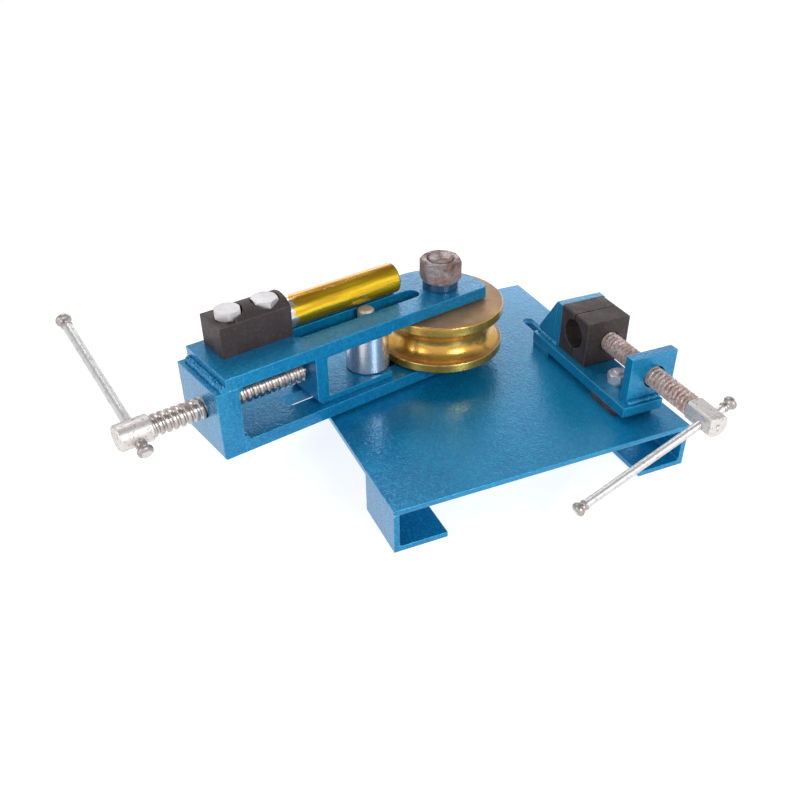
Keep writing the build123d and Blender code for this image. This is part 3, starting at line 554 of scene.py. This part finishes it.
def drawProfile(name, points):
    # an open line of vertices in the XZ plane, drawn from its first point
    bpy.ops.mesh.primitive_plane_add(size=0.001, location=(0, 0, 0))
    line = active()
    line.name = name
    bpy.ops.object.mode_set(mode="EDIT")
    mesh = bmesh.from_edit_mesh(line.data)
    mesh.verts.ensure_lookup_table()
    for index, vertex in enumerate(mesh.verts):
        vertex.select = index > 0
    mesh.select_flush_mode()
    bpy.ops.mesh.select_mode(type="VERT")
    bmesh.update_edit_mesh(line.data)
    bpy.ops.mesh.delete(type="VERT")
    bpy.ops.mesh.select_all(action="SELECT")
    mesh = bmesh.from_edit_mesh(line.data)
    for vertex in mesh.verts:
        first = vertex.co.copy()
    bpy.ops.transform.translate(value=(points[0][0] - first.x, -first.y, points[0][1] - first.z))
    for (alongFrom, radiusFrom), (alongTo, radiusTo) in zip(points, points[1:]):
        bpy.ops.mesh.extrude_region_move(
            TRANSFORM_OT_translate={"value": (alongTo - alongFrom, 0, radiusTo - radiusFrom)}
        )
    bpy.ops.object.mode_set(mode="OBJECT")
    return line


def threadedRod(name, thread, start, end, axis, tipEnd, spigotEnd):
    # a helical thread made by screwing one pitch of its section round the X axis, then turned into place
    rod = drawProfile(name, [(along * thread["pitch"], radius) for along, radius in thread["section"]])
    length = (end - start).length
    turns = int(length / thread["pitch"]) + 3
    applyModifier(rod, "SCREW", axis="X", angle=2 * pi, screw_offset=thread["pitch"], iterations=turns,
                  steps=28, render_steps=28, use_merge_vertices=True, merge_threshold=0.00001)
    cutEnd(rod, (thread["pitch"] * 1.3, 0, 0), (-1, 0, 0))
    cutEnd(rod, (thread["pitch"] * 1.3 + length, 0, 0), (1, 0, 0))
    rod.matrix_world = Matrix.Translation(start) @ axis.to_track_quat("X", "Z").to_matrix().to_4x4() @ \
        Matrix.Translation((-thread["pitch"] * 1.3, 0, 0))
    settle(rod)
    for near, far in ((start, tipEnd), (end, spigotEnd)):
        reach = far - near
        bpy.ops.mesh.primitive_cylinder_add(
            vertices=40, radius=thread["stub"], depth=reach.length, location=(near + far) / 2,
            rotation=reach.to_track_quat("Z", "Y").to_euler()
        )
        stub = active()
        bpy.ops.object.mode_set(mode="EDIT")
        bpy.ops.mesh.bevel(offset=0.0006, segments=2, affect="EDGES")
        bpy.ops.object.mode_set(mode="OBJECT")
        settle(stub)
        bpy.ops.object.select_all(action="DESELECT")
        stub.select_set(True)
        rod.select_set(True)
        bpy.context.view_layer.objects.active = rod
        bpy.ops.object.join()
    only(rod)
    bpy.ops.object.shade_smooth_by_angle(angle=radians(38))
    return rod


turnPerMetre = {couple["joint"]: couple["ratio"] for couple in frame["record"]["behaviour"]["couplings"]}
leadThread = {
    "pitch": 2 * pi / turnPerMetre["feed_screw_turn"], "stub": 6 * mm,
    # where the thread starts and where the cross hole is, from the pivot
    "start": 0.163, "crossing": 0.3235,
    # along the pitch (0 to 1) and radius: wide round-edged crests with narrow valleys
    "section": [(0.0, 0.0081), (0.07, 0.0081), (0.14, 0.0086), (0.21, 0.0096), (0.28, 0.0100), (0.66, 0.0100),
                (0.73, 0.0096), (0.80, 0.0086), (0.87, 0.0081), (1.0, 0.0081)],
}
low, high = armReach("lead_screw", armAlong)
headLow = armReach("lead_screw_head", armAlong)[0]
screwAcross = (screwAxisPoint - pivot).dot(armAcross)
threadFrom = armPlace(leadThread["start"], screwAcross, screwAxisPoint.z)
threadTo = armPlace(headLow, screwAcross, screwAxisPoint.z)
leadRod = threadedRod("leadScrewThread", leadThread, threadFrom, threadTo, armAlong,
                      armPlace(low, screwAcross, screwAxisPoint.z),
                      armPlace(high, screwAcross, screwAxisPoint.z))
leadRod.data.materials.append(leadSteel)
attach(leadRod, "feed_screw")
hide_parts("lead_screw")
print("lead screw cut")

jawThread = {
    "pitch": 2 * pi / turnPerMetre["jaw_screw_turn"], "stub": 6 * mm,
    # gap at the socket, and the cross hole from the front of the head
    "gap": 2.2 * mm, "crossing": 13.4 * mm,
    "section": [(0.0, 0.0074), (0.14, 0.0075), (0.26, 0.0085), (0.36, 0.0097), (0.44, 0.0100), (0.60, 0.0100),
                (0.68, 0.0096), (0.78, 0.0085), (0.90, 0.0076), (1.0, 0.0074)],
}
jawLow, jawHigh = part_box("vise_screw")
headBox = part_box("vise_screw_head")
jawX, jawZ = jawAxisPoint.x, jawAxisPoint.z
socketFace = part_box("clamp_moving_half")[0].y
threadTip = Vector((jawX, socketFace + jawThread["gap"], jawZ))
threadTail = Vector((jawX, headBox[1].y, jawZ))
jawRod = threadedRod("viseScrewThread", jawThread, threadTip, threadTail, jawAxis,
                     Vector((jawX, jawHigh.y, jawZ)), Vector((jawX, jawLow.y, jawZ)))
jawRod.data.materials.append(screwRust)
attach(jawRod, "jaw_screw")
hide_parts("vise_screw")
print("vise screw cut")

# ---- end knobs of the two tommy bars: a collar, a neck and a domed head, riveted over ----
knob = {
    # share of the length from the inner end, and share of the radius
    "profile": [(0.0, 0.60), (0.02, 0.72), (0.16, 0.76), (0.22, 0.70), (0.28, 0.66), (0.40, 0.70),
                (0.50, 0.86), (0.58, 0.97), (0.64, 1.0), (0.76, 1.0), (0.84, 0.95), (0.91, 0.82),
                (0.96, 0.60), (0.985, 0.35), (1.0, 0.0)],
}


def endKnobs(name, cadNode, body, axis, crossing):
    # each knob stands where the CAD knob stands, its dome pointing away from the screw
    places = {1: [], -1: []}
    for vertex in nodes[cadNode].data.vertices:
        reach = (vertex.co - crossing).dot(axis)
        places[1 if reach > 0 else -1].append((abs(reach), vertex.co))
    made = []
    for side, found in places.items():
        near = min(reach for reach, _ in found)
        far = max(reach for reach, _ in found)
        outward = axis * side
        size = max(((spot - crossing) - axis * (spot - crossing).dot(axis)).length for _, spot in found)
        outline = [(share * (far - near), max(width * size, 0.00001)) for share, width in knob["profile"]]
        piece = drawProfile(name, outline)
        applyModifier(piece, "SCREW", axis="X", angle=2 * pi, steps=36, render_steps=36,
                      use_merge_vertices=True, merge_threshold=0.00003)
        piece.matrix_world = Matrix.Translation(crossing + outward * near) @ \
            outward.to_track_quat("X", "Z").to_matrix().to_4x4()
        settle(piece)
        made.append(piece)
    bpy.ops.object.select_all(action="DESELECT")
    for piece in made:
        piece.select_set(True)
    bpy.context.view_layer.objects.active = made[0]
    bpy.ops.object.join()
    joined = active()
    only(joined)
    bpy.ops.object.shade_smooth_by_angle(angle=radians(40))
    joined.data.materials.append(knobSteel)
    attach(joined, body)
    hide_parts(cadNode)
    return joined


feedTommyAxis = Vector(joints["feed_tommy_slide"]["axis"]).normalized()
jawTommyAxis = Vector(joints["jaw_tommy_slide"]["axis"]).normalized()
feedCrossing = armPlace(leadThread["crossing"], screwAcross, screwAxisPoint.z)
jawCrossing = Vector((jawX, headBox[0].y + jawThread["crossing"], jawZ))
endKnobs("feedTommyKnobs", "lead_tommy_knobs", "feed_tommy", feedTommyAxis, feedCrossing)
endKnobs("jawTommyKnobs", "vise_tommy_knobs", "jaw_tommy", jawTommyAxis, jawCrossing)
print("knobs turned")


# ---- weld beads: overlapping ripples laid into the corners ----
weldSettings = {"step": 0.0022, "voxel": 0.00055, "jitter": 0.16, "seed": 7,
                # shares of the leg and of the step
                "lift": 0.22, "round": 0.62, "endGap": 0.6, "thick": 0.95}
chance = Random(weldSettings["seed"])


def rippledWeld(name, runs, cadNode, body, trim=None):
    # each run is its two ends, the two faces' directions and the leg of the bead
    # trim is where the beads are cut flush, and the way outward
    bpy.ops.object.select_all(action="DESELECT")
    ripples = []
    for start, end, sideA, sideB, leg in runs:
        run = end - start
        count = max(3, round(run.length / weldSettings["step"]))
        middleWay = (sideA + sideB).normalized()
        turn = run.normalized().to_track_quat("Z", "Y")
        for index in range(count + 1):
            wobble = [1 + weldSettings["jitter"] * chance.uniform(-1, 1) for _ in range(3)]
            gap = weldSettings["endGap"] * weldSettings["step"] / run.length
            share = min(max(index / count, gap), 1 - gap)
            spot = start + run * share + middleWay * leg * weldSettings["lift"] * wobble[0]
            radius = leg * weldSettings["round"]
            bpy.ops.mesh.primitive_uv_sphere_add(segments=14, ring_count=8, radius=radius * wobble[1],
                                                 location=spot, rotation=turn.to_euler())
            ripple = active()
            ripple.scale = (1, 1, weldSettings["step"] * weldSettings["thick"] * wobble[2] / radius)
            ripples.append(ripple)
    bpy.ops.object.select_all(action="DESELECT")
    for ripple in ripples:
        ripple.select_set(True)
    bpy.context.view_layer.objects.active = ripples[0]
    bpy.ops.object.join()
    weld = active()
    weld.name = name
    only(weld)
    bpy.ops.object.transform_apply(location=True, rotation=True, scale=True)
    applyModifier(weld, "REMESH", mode="VOXEL", voxel_size=weldSettings["voxel"])
    applyModifier(weld, "SMOOTH", factor=0.5, iterations=2)
    if trim is not None:
        cutEnd(weld, *trim)
    only(weld)
    bpy.ops.object.shade_smooth_by_angle(angle=radians(60))
    weld.data.materials.append(paint)
    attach(weld, body)
    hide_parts(cadNode)
    return weld


armBack, armFront = armReach("arm_end_block", armAcross)
blockStart = armReach("arm_end_block", armAlong)[0]
topBarEnd = armReach("arm_top_bar", armAlong)[1]
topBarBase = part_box("arm_top_bar")[0].z
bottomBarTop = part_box("arm_bottom_bar")[1].z
past = 2 * mm
armRuns = [
    (armPlace(topBarEnd, armBack + 3 * mm, topBarBase), armPlace(topBarEnd, armFront + past, topBarBase),
     armAlong, up, 7 * mm),
    (armPlace(blockStart, armBack + 3 * mm, bottomBarTop),
     armPlace(blockStart, armFront + past, bottomBarTop),
     -armAlong, up, 6 * mm),
    (armPlace(blockStart, armBack + 3 * mm, topBarBase), armPlace(blockStart, armFront + past, topBarBase),
     -armAlong, -up, 6 * mm),
]
armFace = armPlace(0, armFront - 0.1 * mm, topBarBase)  # just behind the bars' front face
rippledWeld("armWeldBeads", armRuns, "arm_welds", "arm", (armFace, armAcross))

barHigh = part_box("vise_base_bar")[1]
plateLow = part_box("vise_front_plate")[0]
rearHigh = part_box("vise_rear_plate")[1]
gussetLow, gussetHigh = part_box("vise_gusset")
viseTop = barHigh.z
viseRuns = [
    (Vector((plateLow.x + 1 * mm, plateLow.y, viseTop)), Vector((barHigh.x - 1 * mm, plateLow.y, viseTop)),
     Vector((0, -1, 0)), up, 5 * mm),
    (Vector((gussetHigh.x + 1 * mm, rearHigh.y, viseTop)), Vector((barHigh.x - 1 * mm, rearHigh.y, viseTop)),
     Vector((0, 1, 0)), up, 3.5 * mm),
    (Vector((gussetLow.x, rearHigh.y - 8 * mm, viseTop)),
     Vector((gussetLow.x, gussetHigh.y - 1 * mm, viseTop)),
     Vector((-1, 0, 0)), up, 4 * mm),
]
rippledWeld("viseWeldBeads", viseRuns, "vise_welds", "vise")

footRuns = []
for foot in ("foot_front_left", "foot_front_right", "foot_back_left", "foot_back_right"):
    low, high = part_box(foot)
    inward = 1 if "left" in foot else -1
    face = (low.x if inward > 0 else high.x) + inward * 5 * mm
    footRuns.append((Vector((face, low.y + 3 * mm, high.z)), Vector((face, high.y - 3 * mm, high.z)),
                     Vector((inward, 0, 0)), -up, 4 * mm))
rippledWeld("footWeldBeads", footRuns, "foot_welds", "base")
print("welds laid")

# ---- floor, light, camera ----
bpy.ops.mesh.primitive_plane_add(size=12, location=(0, 0, 0))
floor = active()
floor.name = "studioFloor"
floorPaint, _, floorShader = newMaterial("paleFloor")
floorShader.inputs["Base Color"].default_value = (0.42, 0.42, 0.42, 1)
floorShader.inputs["Roughness"].default_value = 0.95
floorShader.inputs["Specular IOR Level"].default_value = 0.1
floorShader.inputs["Emission Color"].default_value = (1, 1, 1, 1)
floorShader.inputs["Emission Strength"].default_value = 0.78
floor.data.materials.append(floorPaint)

# pale walls all round, a dim ceiling
world = bpy.data.worlds.new("studio")
world.use_nodes = True
room = world.node_tree
direction = newNode(room, "ShaderNodeTexCoord")
heights = newNode(room, "ShaderNodeSeparateXYZ")
join(room, direction.outputs["Generated"], heights.inputs[0])
ceiling = spread(room, heights.outputs["Z"], 0.42, 0.80)
walls = mixColour(room, ceiling, (0.98, 0.98, 1.0), (0.22, 0.23, 0.25))
join(room, walls, room.nodes["Background"].inputs[0])
room.nodes["Background"].inputs[1].default_value = 0.9
bpy.context.scene.world = world
bpy.context.scene.view_settings.view_transform = "Standard"


def softBox(name, place, target, size, power):
    light = bpy.data.lights.new(name, "AREA")
    light.shape = "RECTANGLE"
    light.size, light.size_y = size
    light.energy = power
    lamp = bpy.data.objects.new(name, light)
    bpy.context.scene.collection.objects.link(lamp)
    lamp.location = place
    lamp.rotation_euler = (Vector(target) - Vector(place)).to_track_quat("-Z", "Y").to_euler()


lamps = {
    "overhead": {"place": (0.0, 0.9, 1.6), "target": (0, 0, 0), "size": (1.0, 0.7), "power": 8},
    "backWindow": {"place": (1.0, 1.75, 0.72), "target": (0, 0, 0.1), "size": (1.5, 0.7), "power": 5},
    "leftWall": {"place": (-1.7, -0.5, 1.0), "target": (0, 0, 0.05), "size": (1.0, 1.0), "power": 10},
    "frontFill": {"place": (0.6, -1.9, 1.1), "target": (0, 0, 0.05), "size": (0.8, 0.6), "power": 22},
}
for lampName, settings in lamps.items():
    softBox(lampName, **settings)

view = {"place": (-0.2592, -0.6406, 0.5165), "heading": 25.54, "down": 35.97, "roll": 0.62,
        "lens": 39.96, "shift": (-0.0352, 0.0503)}
lens = bpy.data.cameras.new("studioCamera")
lens.lens = view["lens"]
lens.sensor_width = 36
lens.shift_x, lens.shift_y = view["shift"]
camera = bpy.data.objects.new("studioCamera", lens)
bpy.context.scene.collection.objects.link(camera)
camera.location = view["place"]
aim = Matrix.Rotation(radians(-view["heading"]), 4, "Z") @ Matrix.Rotation(radians(90 - view["down"]), 4, "X")
camera.rotation_euler = (aim @ Matrix.Rotation(radians(view["roll"]), 4, "Z")).to_euler()
bpy.context.scene.camera = camera
print("stage set")
